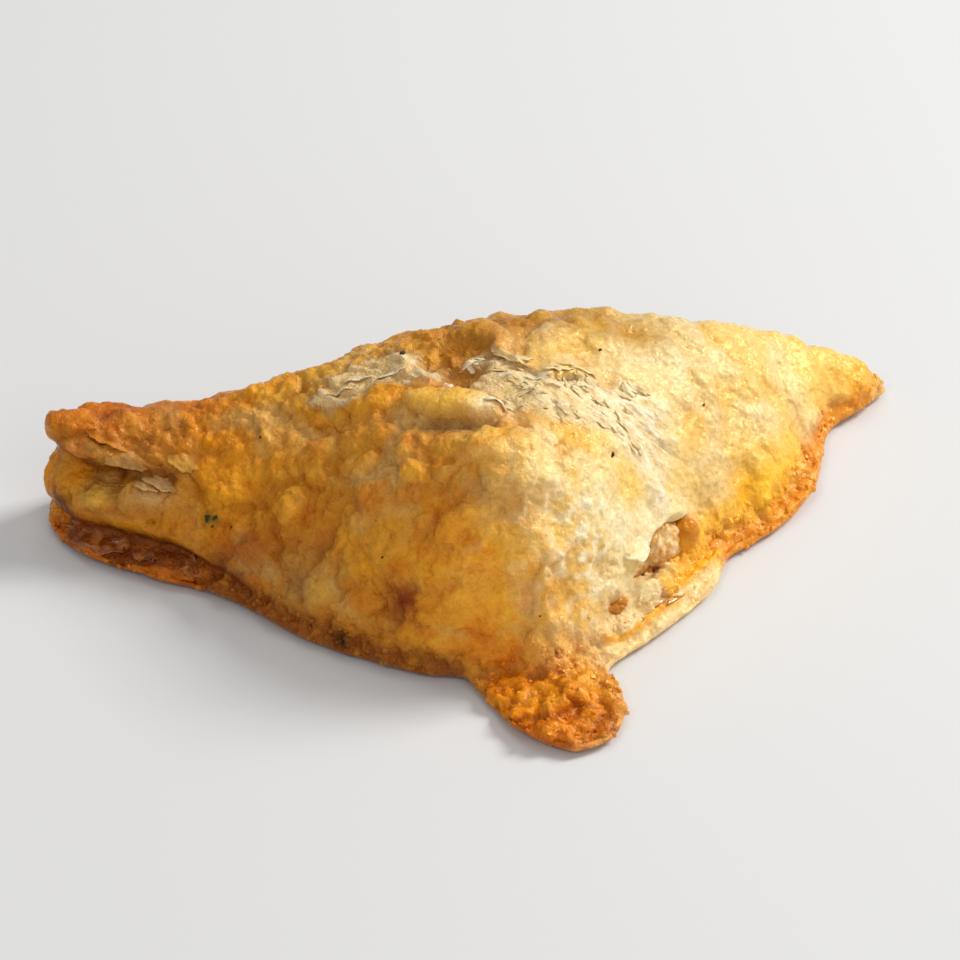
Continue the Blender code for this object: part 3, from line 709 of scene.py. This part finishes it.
silk = add(tree, "ShaderNodeMath", {0: silk, 1: torn_at}, operation="MULTIPLY")
share = add(tree, "ShaderNodeMapRange", {"Value": crumb, "From Min": 0.32, "From Max": 0.68})
shade = add(tree, "ShaderNodeMix", {"Factor_Float": share, "A_Color": (0.95, 0.84, 0.66, 1),
                                    "B_Color": (1.05, 1.06, 1.08, 1)}, **BLEND)
mottled = add(tree, "ShaderNodeMix", {"Factor_Float": 1.0, "A_Color": skin_at, "B_Color": shade}, **MULTIPLY)
speck = add(tree, "ShaderNodeMapRange", {"Value": grain, "From Min": 0.3, "From Max": 0.7, "To Min": 0.92,
                                         "To Max": 1.07})
colour = add(tree, "ShaderNodeMix", {"Factor_Float": 1.0, "A_Color": mottled, "B_Color": speck}, **MULTIPLY)
rough = add(tree, "ShaderNodeMapRange", {"Value": crumb, "From Min": 0.35, "From Max": 0.65, "To Min": 0.12,
                                         "To Max": 0.4})
for mask, change in ((gloss_at, -0.2), (torn_at, 0.2)):
    rough = add(tree, "ShaderNodeMath", {0: mask, 1: change, 2: rough}, operation="MULTIPLY_ADD")
relief = add(tree, "ShaderNodeMath", {0: crumb, 1: 0.35}, operation="MULTIPLY")
for pattern, depth in ((grain, grainy), (facet, -0.2), (silk, 0.5)):
    relief = add(tree, "ShaderNodeMath", {0: pattern, 1: depth, 2: relief}, operation="MULTIPLY_ADD")
bump = add(tree, "ShaderNodeBump", {"Height": relief, "Distance": MM})
fill(tree, shader, {"Base Color": colour, "Roughness": rough, "Normal": bump})
crust_mesh.materials.clear()
crust_mesh.materials.append(material)
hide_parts("crust")
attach(crust, "root")


# ---- Torn skins ----
# Thin sheets of pastry where the top layers have split: they grow out of the crust on one side and
# lift off it on the other. Golden where they were baked outside, ivory where they lay inside.

SHEET_THICKNESS = 0.2           # mm
SHEET_GAP = 0.12                # mm between a sheet's middle plane and the crust under it
ROOT_DEPTH = 0.85               # mm that its rooted side goes into the crust
RAY_START, RAY_LENGTH = 4, 7    # mm: how far out the crust is felt from, how far in
SHREDS = 90


def outward(place, reach=2.5):
    """The mean direction out of the crust round a place, in mm."""
    total = Vector((0, 0, 0))
    for _, normal, _, _ in body.find_nearest_range(Vector(place), reach) or [body.find_nearest(Vector(place))]:
        total += normal
    return total.normalized()


def sheet(middle, along, half, free, lift, ragged, colour, seed, rings=9, spokes=40):
    """A thin skin on the crust that lifts off on its free side: its points, faces, tones and edges."""
    middle, _, _, _ = body.find_nearest(Vector(middle))
    out = outward(middle, max(half) * 0.6)
    along = Vector(along)
    along = (along - out * along.dot(out)).normalized()
    across = out.cross(along)
    turns = np.arange(spokes) * 2 * math.pi / spokes
    circle = np.stack([np.cos(turns), np.sin(turns), np.full(spokes, seed * 3.7)], 1)
    reach = 1 + ragged * cloud(circle, 0.45, seed) + 0.6 * ragged * cloud(circle, 0.16, seed + 1)
    freed = np.clip(np.cos(turns - math.radians(free)) + 0.15, 0, 1)**1.3
    level, under = np.zeros((rings + 1, spokes)), np.zeros((rings + 1, spokes, 3))
    for ring in range(rings + 1):
        for k in range(spokes if ring else 1):
            u = half[0] * ring / rings * reach[k] * circle[k, 0]
            v = half[1] * ring / rings * reach[k] * circle[k, 1]
            start = middle + along * u + across * v + out * RAY_START
            hit, _, face, far = body.ray_cast(start, -out, RAY_LENGTH)
            level[ring, k] = RAY_START - far if hit is not None else -2.5
            under[ring, k] = skin[body_faces[face][0]] if hit is not None else under[ring - 1, k]
    level[0], under[0] = level[0, 0], under[0, 0]
    calm = level.copy()
    for _ in range(3):
        beside = (np.roll(calm, 1, 1) + np.roll(calm, -1, 1)) / 2
        calm[1:-1] = (calm[1:-1] + beside[1:-1] + calm[:-2] + calm[2:]) / 4
        calm[-1] = (calm[-1] + beside[-1] + calm[-2]) / 3
        calm[0] = calm[1].mean()
    r = np.arange(rings + 1)[:, None] / rings
    rise = np.maximum(calm, level) + SHEET_GAP + lift * freed * r**2.2 - ROOT_DEPTH * (1 - freed) * r**2
    inward = 1 - 0.1 * lift * freed * r**3 / half[1]
    points, tones, edges = [], [], []
    bare = np.array(linear(colour)[:3])
    for ring in range(rings + 1):
        for k in range(spokes if ring else 1):
            u = half[0] * r[ring, 0] * reach[k] * circle[k, 0] * inward[ring, k]
            v = half[1] * r[ring, 0] * reach[k] * circle[k, 1] * inward[ring, k]
            points.append(middle + along * u + across * v + out * rise[ring, k])
            share = 0.7 + 0.3 * freed[k] * r[ring, 0] - 0.55 * (1 - freed[k]) * r[ring, 0]
            tones.append(under[ring, k] + (bare - under[ring, k]) * share)
            edges.append(r[ring, 0] * freed[k])
    faces = [(0, 1 + k, 1 + (k + 1) % spokes) for k in range(spokes)]
    for ring in range(rings - 1):
        for k in range(spokes):
            a, b = 1 + ring * spokes, 1 + (ring + 1) * spokes
            after = (k + 1) % spokes
            faces.append((a + k, b + k, b + after, a + after))
    return points, faces, tones, edges


def joined_sheets(name, sheets):
    """One mesh of many sheets, with a thickness."""
    points, faces, tones, edges = [], [], [], []
    for each in sheets:
        more, their_faces, their_tones, their_edges = sheet(*each)
        faces += [tuple(len(points) + k for k in face) for face in their_faces]
        points += more
        tones += their_tones
        edges += their_edges
    points = np.array(points)
    points[:, 2] += np.array(edges) * (0.25 * cloud(points, 1.8, 61) + 0.15 * cloud(points, 0.8, 62))
    mesh = bpy.data.meshes.new(name)
    mesh.from_pydata(to_row(points).tolist(), [], faces)
    put_colour(mesh, "skin", np.array(tones))
    put_number(mesh, "edge", np.array(edges))

    def modifiers(stack):
        wall = stack.new("wall", "SOLIDIFY")
        wall.thickness = SHEET_THICKNESS * MM
        wall.offset = 0
    mesh = evaluated(mesh, modifiers)
    mesh.name = name
    shade_smooth(mesh)
    return mesh


# Middle, the way its length runs, half length and width, free side, lift, raggedness, colour, seed.
SKINS = [
    ((62.5, -27.5, 34.6), (1, 0.5, 0), (1.5, 1), -60, 0.6, 0.5, "#FBF0D8", 29),
    ((69, -35.8, 37), (14.2, -11.4, 2), (2.6, 1.6), -50, 0.6, 0.25, "#FAE8BC", 2),
    ((75, -24, 36), (7, -11, 0), (4.5, 1.4), -90, 0.55, 0.3, "#EED08A", 3),
    ((80.5, -29, 35.4), (11, 1, -5), (3.5, 1.3), -90, 0.5, 0.4, "#F3DCA4", 4),
    ((86, -27.8, 33.4), (11, 1, -5), (3.5, 1.2), -90, 0.45, 0.4, "#F3DCA4", 5),
    ((50, -16, 31), (12, -3, 3), (3.5, 0.9), -90, 0.4, 0.4, "#EBDCB8", 22),
    ((55, -18, 32), (12, -4, 3), (3.2, 0.8), -80, 0.4, 0.4, "#F0E4C6", 23),
    ((46, -17, 30), (12, -2, 4), (2.8, 0.8), -100, 0.4, 0.4, "#E2CC9C", 24),
    ((60.5, -21.5, 33.4), (8, -4, 2), (3.2, 1.6), 90, 0.3, 0.25, "#D8C090", 13),
    ((12, -11, 17), (10, -6, -2), (4.2, 1.8), -90, 0.9, 0.3, "#C08A4A", 14),
    ((8, -11, 13.6), (9, -6, 0), (3.6, 1.2), -90, 0.8, 0.3, "#A8702C", 15),
    ((17, -15, 14.4), (9, -7, -3), (3.6, 1.4), -80, 0.8, 0.3, "#D2A468", 16),
    ((14, -14, 13.6), (9, -7, -1), (3, 1.2), -70, 0.7, 0.3, "#C8985C", 25),
    ((4.6, -7.5, 19), (9, -7, -1), (4, 1.9), -90, 1, 0.25, "#B86A20", 17),
    ((9, -8, 20), (9, -7, -1), (4, 1.9), -90, 0.7, 0.25, "#C8781E", 26),
    ((21, -15, 18), (6, -5, -1), (3.4, 2), -90, 0.7, 0.25, "#D69A3A", 27),
    ((90, -49.5, 13.8), (5, 7, 0), (5, 1.8), -90, 0.9, 0.2, "#F6E6B8", 18),
    ((97, -42, 13), (7, 6, -1), (5.5, 1.8), -90, 0.9, 0.2, "#F6DC98", 19),
]
chance = np.random.default_rng(5)
CLUMPS = [(84.6, -30.6, 33.4), (80.6, -37.6, 34.2), (69.6, -21.2, 36), (76, -33, 36)]
for number in range(SHREDS):
    u, v = chance.uniform(0, 1)**1.5, chance.uniform(-1, 1)
    middle = np.array((71 + 26 * u - 1.5 * v, -30 - 4 * u - 6.5 * v, 36 - 9 * u - 1.5 * v))
    size = chance.uniform(0.25, 0.85)
    turn = chance.normal(0, 0.12, 3)
    if number % 3 == 0:
        middle = np.array(CLUMPS[number // 3 % len(CLUMPS)]) + chance.normal(0, (1.6, 1.1, 0.5))
        turn = chance.normal(0, 0.7, 3)
        size *= 0.8
    colour = ("#EBD5A2", "#E3C68C", "#F3E4BE", "#DDBE80")[number % 4]
    SKINS.append((middle, np.array(FIBRES) + turn, (3.2 * size, 1.2 * size), -90 + chance.uniform(-80, 80),
                  0.05 + 0.17 * chance.uniform(), 0.5, colour, 30 + number, 5, 22))

skins_mesh = joined_sheets("torn_skins", SKINS)
skins = new_object("torn_skins", skins_mesh)
# Thin baked sheets of pastry: dry and satin, paler at their torn edges.
material, tree, shader = new_material("flaked pastry skin", {"Roughness": 0.4, "Specular Tint": (1.0, 0.8, 0.45, 1)})
place = add(tree, "ShaderNodeTexCoord", output="Object")
in_mm = add(tree, "ShaderNodeVectorMath", {0: place, "Scale": 1 / MM}, operation="SCALE")
skin_at = add(tree, "ShaderNodeAttribute", attribute_name="skin")
edge_at = add(tree, "ShaderNodeAttribute", output="Fac", attribute_name="edge")
crumb = add(tree, "ShaderNodeTexNoise", {"Vector": in_mm, "Scale": 1.0, "Detail": 4, "Roughness": 0.6})
pale = add(tree, "ShaderNodeMapRange", {"Value": edge_at, "From Min": 0.8, "To Max": 0.5})
lighter = add(tree, "ShaderNodeMix", {"Factor_Float": 1.0, "A_Color": skin_at, "B_Color": (1.12, 1.14, 1.2, 1)},
              **MULTIPLY)
colour = add(tree, "ShaderNodeMix", {"Factor_Float": pale, "A_Color": skin_at, "B_Color": lighter}, **BLEND)
shade = add(tree, "ShaderNodeMapRange", {"Value": crumb, "From Min": 0.3, "From Max": 0.7, "To Min": 0.84,
                                         "To Max": 1.1})
colour = add(tree, "ShaderNodeMix", {"Factor_Float": 1.0, "A_Color": colour, "B_Color": shade}, **MULTIPLY)
bump = add(tree, "ShaderNodeBump", {"Height": crumb, "Distance": 0.3 * MM})
fill(tree, shader, {"Base Color": colour, "Normal": bump})
skins_mesh.materials.append(material)
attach(skins, "root")


# ---- Filling ----
# Minced meat and onion, cooked soft and brown in its own juice. It fills the pocket and swells
# into the tear, where it is all that can be seen of it.

SWELLING = ((95.8, -42, 7), (5, 3.2, 4.2), (0.7, 0.71, 0), 0.4)     # middle, half sizes, along, lumps
filling_mesh = made_even(merged_copy("filling"), 0.8, 4)
places = (points_of(filling_mesh) - CORNER) / MM
mince, _ = puffs(drift(places, 4, 1.0, 21), 3.0, 22)
places += normals_of(filling_mesh) * (0.5 * mince - 0.55)[:, None]
put_points(filling_mesh, to_row(places))


def lump(name, middle, half, along, roughness, cell, seed, subdivisions=5):
    """A rounded lump with smaller lumps on it, in mm."""
    bm = bmesh.new()
    bmesh.ops.create_icosphere(bm, subdivisions=subdivisions, radius=1)
    mesh = bpy.data.meshes.new(name)
    bm.to_mesh(mesh)
    bm.free()
    along = Vector(along).normalized()
    up = Vector((0, 0, 1))
    across = up.cross(along).normalized()
    up = along.cross(across)
    unit = points_of(mesh)
    axes = np.array((along, across, up))
    shape = (unit * half) @ axes + middle
    outwards = (unit / half) @ axes
    outwards /= np.linalg.norm(outwards, axis=1)[:, None]
    bumps, _ = puffs(drift(shape, cell, cell * 0.3, seed), cell, seed)
    shape += outwards * (roughness * (bumps - 0.6) + roughness * cloud(shape, cell * 1.7, seed))[:, None]
    put_points(mesh, to_row(shape))
    shade_smooth(mesh)
    return mesh


def joined(name, meshes):
    """One mesh of several."""
    bm = bmesh.new()
    for mesh in meshes:
        bm.from_mesh(mesh)
    whole = bpy.data.meshes.new(name)
    bm.to_mesh(whole)
    bm.free()
    return whole


swelling_mesh = lump("swelling", *SWELLING, 1.5, 23)
filling_mesh = joined("filling_mince", [filling_mesh, swelling_mesh])
shade_smooth(filling_mesh)
filling = new_object("filling_mince", filling_mesh)
# Cooked mince: pinkish-brown, moist and soft, so light goes a little way in.
material, tree, shader = new_material("cooked minced meat", {
    "Roughness": 0.3, "Specular Tint": (1.0, 0.75, 0.4, 1), "Subsurface Weight": 0.1,
    "Subsurface Radius": (1.5, 0.6, 0.3), "Subsurface Scale": MM})
place = add(tree, "ShaderNodeTexCoord", output="Object")
in_mm = add(tree, "ShaderNodeVectorMath", {0: place, "Scale": 1 / MM}, operation="SCALE")
crumb = add(tree, "ShaderNodeTexNoise", {"Vector": in_mm, "Scale": 0.7, "Detail": 4, "Roughness": 0.6})
share = add(tree, "ShaderNodeMapRange", {"Value": crumb, "From Min": 0.35, "From Max": 0.65})
colour = add(tree, "ShaderNodeMix", {"Factor_Float": share, "A_Color": linear("#D8963C"),
                                     "B_Color": linear("#F8DCA4")}, **BLEND)
bump = add(tree, "ShaderNodeBump", {"Height": crumb, "Distance": 0.4 * MM})
fill(tree, shader, {"Base Color": colour, "Normal": bump})
filling_mesh.materials.clear()
filling_mesh.materials.append(material)
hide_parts("filling")
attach(filling, "root")


# ---- Meat scraps and juice ----
# A scrap of meat in a small hole under the tear, another at the tear's foot, and a curl of juice
# that has boiled out and dried: irregular brown lumps, still wet.

scraps_mesh = joined("meat_scraps", [
    lump("scrap", (84.1, -56.3, 6.3), (2.2, 1.0, 1.5), (0.9, 0.4, 0), 0.6, 1.1, 41, 4),
    lump("curl", (95.6, -51.6, 2.7), (2.2, 0.6, 0.5), (0.9, 0.35, 0), 0.35, 0.8, 42, 4),
    lump("edge", (93.0, -45.2, 4.4), (1.3, 0.8, 1.8), (0.4, 0.8, 0), 0.5, 0.9, 43, 4),
])
shade_smooth(scraps_mesh)
scraps = new_object("meat_scraps", scraps_mesh)
# Meat browned in its own juice: amber-brown, smooth and wet.
material, _, _ = new_material("browned meat juice", {
    "Base Color": linear("#C67C2C"), "Roughness": 0.2, "Specular Tint": (1.0, 0.7, 0.35, 1)})
scraps_mesh.materials.append(material)
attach(scraps, "root")


# ---- Juice on the left lip ----
# Gravy that has run out of the groove, pooled on the lip and boiled down to a sticky brown film.
# Thin overlapping sheets that follow the lip, with soft swells and blisters.

JUICE = [
    ((6.5, -13.3, 3), (11, -8.5, 0), (6, 1.6), -90, 0, 0.45, "#7C3208", 301, 8, 44),
    ((14, -19, 3), (10, -9, 0), (5, 1.7), -90, 0, 0.45, "#6E2804", 302, 8, 40),
    ((19.5, -24.3, 3), (6, -6, 0), (3.2, 1.5), -90, 0, 0.35, "#84400E", 303, 7, 32),
    ((94.5, -51.5, 2.4), (9, 5, 0), (3.2, 1), -90, 0.1, 0.3, "#A0500E", 304, 5, 24),
]
juice_mesh = joined_sheets("juice", JUICE)
places = (points_of(juice_mesh) - CORNER) / MM
places[:, 2] += 0.45 * cloud(places, 2.0, 311) + 0.2 * cloud(places, 0.9, 312)
put_points(juice_mesh, to_row(places))
juice_film = new_object("juice", juice_mesh)
# Boiled-down gravy: dark red-brown and clear, mirror-smooth like caramel.
material, tree, shader = new_material("caramelised meat juice", {
    "Roughness": 0.12, "Specular Tint": (1.0, 0.7, 0.4, 1), "Coat Weight": 0.6, "Coat Roughness": 0.05})
skin_at = add(tree, "ShaderNodeAttribute", attribute_name="skin")
place = add(tree, "ShaderNodeTexCoord", output="Object")
in_mm = add(tree, "ShaderNodeVectorMath", {0: place, "Scale": 1 / MM}, operation="SCALE")
crumb = add(tree, "ShaderNodeTexNoise", {"Vector": in_mm, "Scale": 0.5, "Detail": 4, "Roughness": 0.6})
share = add(tree, "ShaderNodeMapRange", {"Value": crumb, "From Min": 0.4, "From Max": 0.65})
# lighter brown patches mixed in by noise: partly painted glints on the film
colour = add(tree, "ShaderNodeMix", {"Factor_Float": share, "A_Color": skin_at, "B_Color": linear("#B0682A")},
             **BLEND)
bump = add(tree, "ShaderNodeBump", {"Height": crumb, "Distance": 0.35 * MM})
fill(tree, shader, {"Base Color": colour, "Normal": bump})
juice_mesh.materials.append(material)
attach(juice_film, "root")


# ---- Pepper and herb ----
# Specks that have come through from the filling: a few grains of black pepper and one bit of
# green herb, each a crushed flat grain bedded in the crust.

PEPPER = [
    ((26.3, -27.3, 12), 0.2), ((47.1, -48.4, 17.5), 0.22), ((58.3, -14.9, 33.8), 0.4), ((90.6, -20.9, 32.9), 0.25),
    ((86.7, -43.4, 27.8), 0.4), ((33, -18, 23), 0.18), ((70, -62, 12), 0.16), ((108, -24, 21), 0.2),
]
HERB = [((23.2, -23.3, 11.5), 0.5), ((24.1, -23.9, 11.9), 0.35), ((23.4, -23.9, 10.6), 0.25)]


def specks(name, spots, seed, colour, roughness):
    """Crushed grains bedded in the crust, in a material named as they are."""
    grains = []
    for number, (spot, size) in enumerate(spots):
        spot, out, _, _ = body.find_nearest(Vector(spot))
        along = out.orthogonal()
        middle = np.array(spot + out * 0.05 * size)
        grains.append(lump("grain", middle, (1.4 * size, size, 0.7 * size), along, 0.45 * size, 0.8 * size,
                           seed + number, 3))
    mesh = joined(name.replace(" ", "_"), grains)
    shade_smooth(mesh)
    obj = new_object(mesh.name, mesh)
    material, _, _ = new_material(name, {
        "Base Color": linear(colour), "Roughness": roughness, "Specular Tint": (1.0, 0.7, 0.3, 1)})
    mesh.materials.append(material)
    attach(obj, "root")


# Cracked peppercorns: nearly black, dull.
specks("black pepper", PEPPER, 91, "#241508", 0.6)
# A leaf bit fried dark green.
specks("fried herb", HERB, 95, "#34361C", 0.75)


# ---- Crumbs ----
# Grains of fried dough and small loose flakes: thick on the crisp rims, fewer on the front corner.
# One scatter over the crust, of faceted grains that take the colour of the skin under them.

CRUMB_DENSITY = 0.45            # a square mm, on the rims
CRUMB_SIZES = (0.5, 1.3)        # mm
crumb_mesh = bpy.data.meshes.new("crumb")
bm = bmesh.new()
bmesh.ops.create_icosphere(bm, subdivisions=1, radius=0.5)
chance = np.random.default_rng(9)
for v in bm.verts:
    v.co *= chance.uniform(0.7, 1.25)
    v.co.z *= 0.6
bm.to_mesh(crumb_mesh)
bm.free()
crumb = new_object("crumb", crumb_mesh)

# Fried dough: crisp grains, a little lighter than the skin they sit on, with a faint fat gloss.
material, tree, shader = new_material("fried crumbs", {"Roughness": 0.3, "Specular Tint": (1.0, 0.75, 0.35, 1)})
skin_at = add(tree, "ShaderNodeAttribute", attribute_name="skin")
colour = add(tree, "ShaderNodeMix", {"Factor_Float": 1.0, "A_Color": skin_at, "B_Color": (1.12, 1.12, 1.1, 1)},
             **MULTIPLY)
fill(tree, shader, {"Base Color": colour})

scatter = bpy.data.node_groups.new("crumb scatter", "GeometryNodeTree")
for name, kind in {"Geometry": "Geometry", "Density": "Float", "Smallest": "Float", "Largest": "Float",
                   "Seed": "Int", "Crumb": "Object", "Material": "Material"}.items():
    scatter.interface.new_socket(name, in_out="INPUT", socket_type="NodeSocket" + kind)
scatter.interface.new_socket("Geometry", in_out="OUTPUT", socket_type="NodeSocketGeometry")
given = scatter.nodes.new("NodeGroupInput").outputs
share = add(scatter, "GeometryNodeInputNamedAttribute", {"Name": "crumbs"}, data_type="FLOAT")
density = add(scatter, "ShaderNodeMath", {0: share, 1: given["Density"]}, operation="MULTIPLY")
spots = add(scatter, "GeometryNodeDistributePointsOnFaces",
            {"Mesh": given["Geometry"], "Density": density, "Seed": given["Seed"]}, "Points")
shape = add(scatter, "GeometryNodeObjectInfo", {"Object": given["Crumb"]}, "Geometry")
spin = add(scatter, "FunctionNodeRandomValue", {"Max": (6.3, 6.3, 6.3), "Seed": given["Seed"]},
           data_type="FLOAT_VECTOR")
size = add(scatter, "FunctionNodeRandomValue", {"Min_001": given["Smallest"], "Max_001": given["Largest"]}, 1,
           data_type="FLOAT")
placed = add(scatter, "GeometryNodeInstanceOnPoints", {"Points": spots, "Instance": shape, "Rotation": spin,
                                                       "Scale": size})
real = add(scatter, "GeometryNodeRealizeInstances", {"Geometry": placed})
dressed = add(scatter, "GeometryNodeSetMaterial", {"Geometry": real, "Material": given["Material"]})
fill(scatter, scatter.nodes.new("NodeGroupOutput"), {"Geometry": dressed})


def scattered(stack):
    """The scatter as a modifier, its inputs set by their identifiers."""
    spread = stack.new("crumbs", "NODES")
    spread.node_group = scatter
    values = {"Density": CRUMB_DENSITY / MM**2, "Smallest": CRUMB_SIZES[0] * MM, "Largest": CRUMB_SIZES[1] * MM,
              "Seed": 4, "Crumb": crumb, "Material": material}
    for item in scatter.interface.items_tree:
        if item.in_out == "INPUT" and item.name in values:
            spread[item.identifier] = values[item.name]


crumbs_mesh = evaluated(crust_mesh, scattered)
crumbs_mesh.name = "crumbs"
bpy.data.objects.remove(crumb)
crumbs = new_object("crumbs", crumbs_mesh)
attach(crumbs, "root")
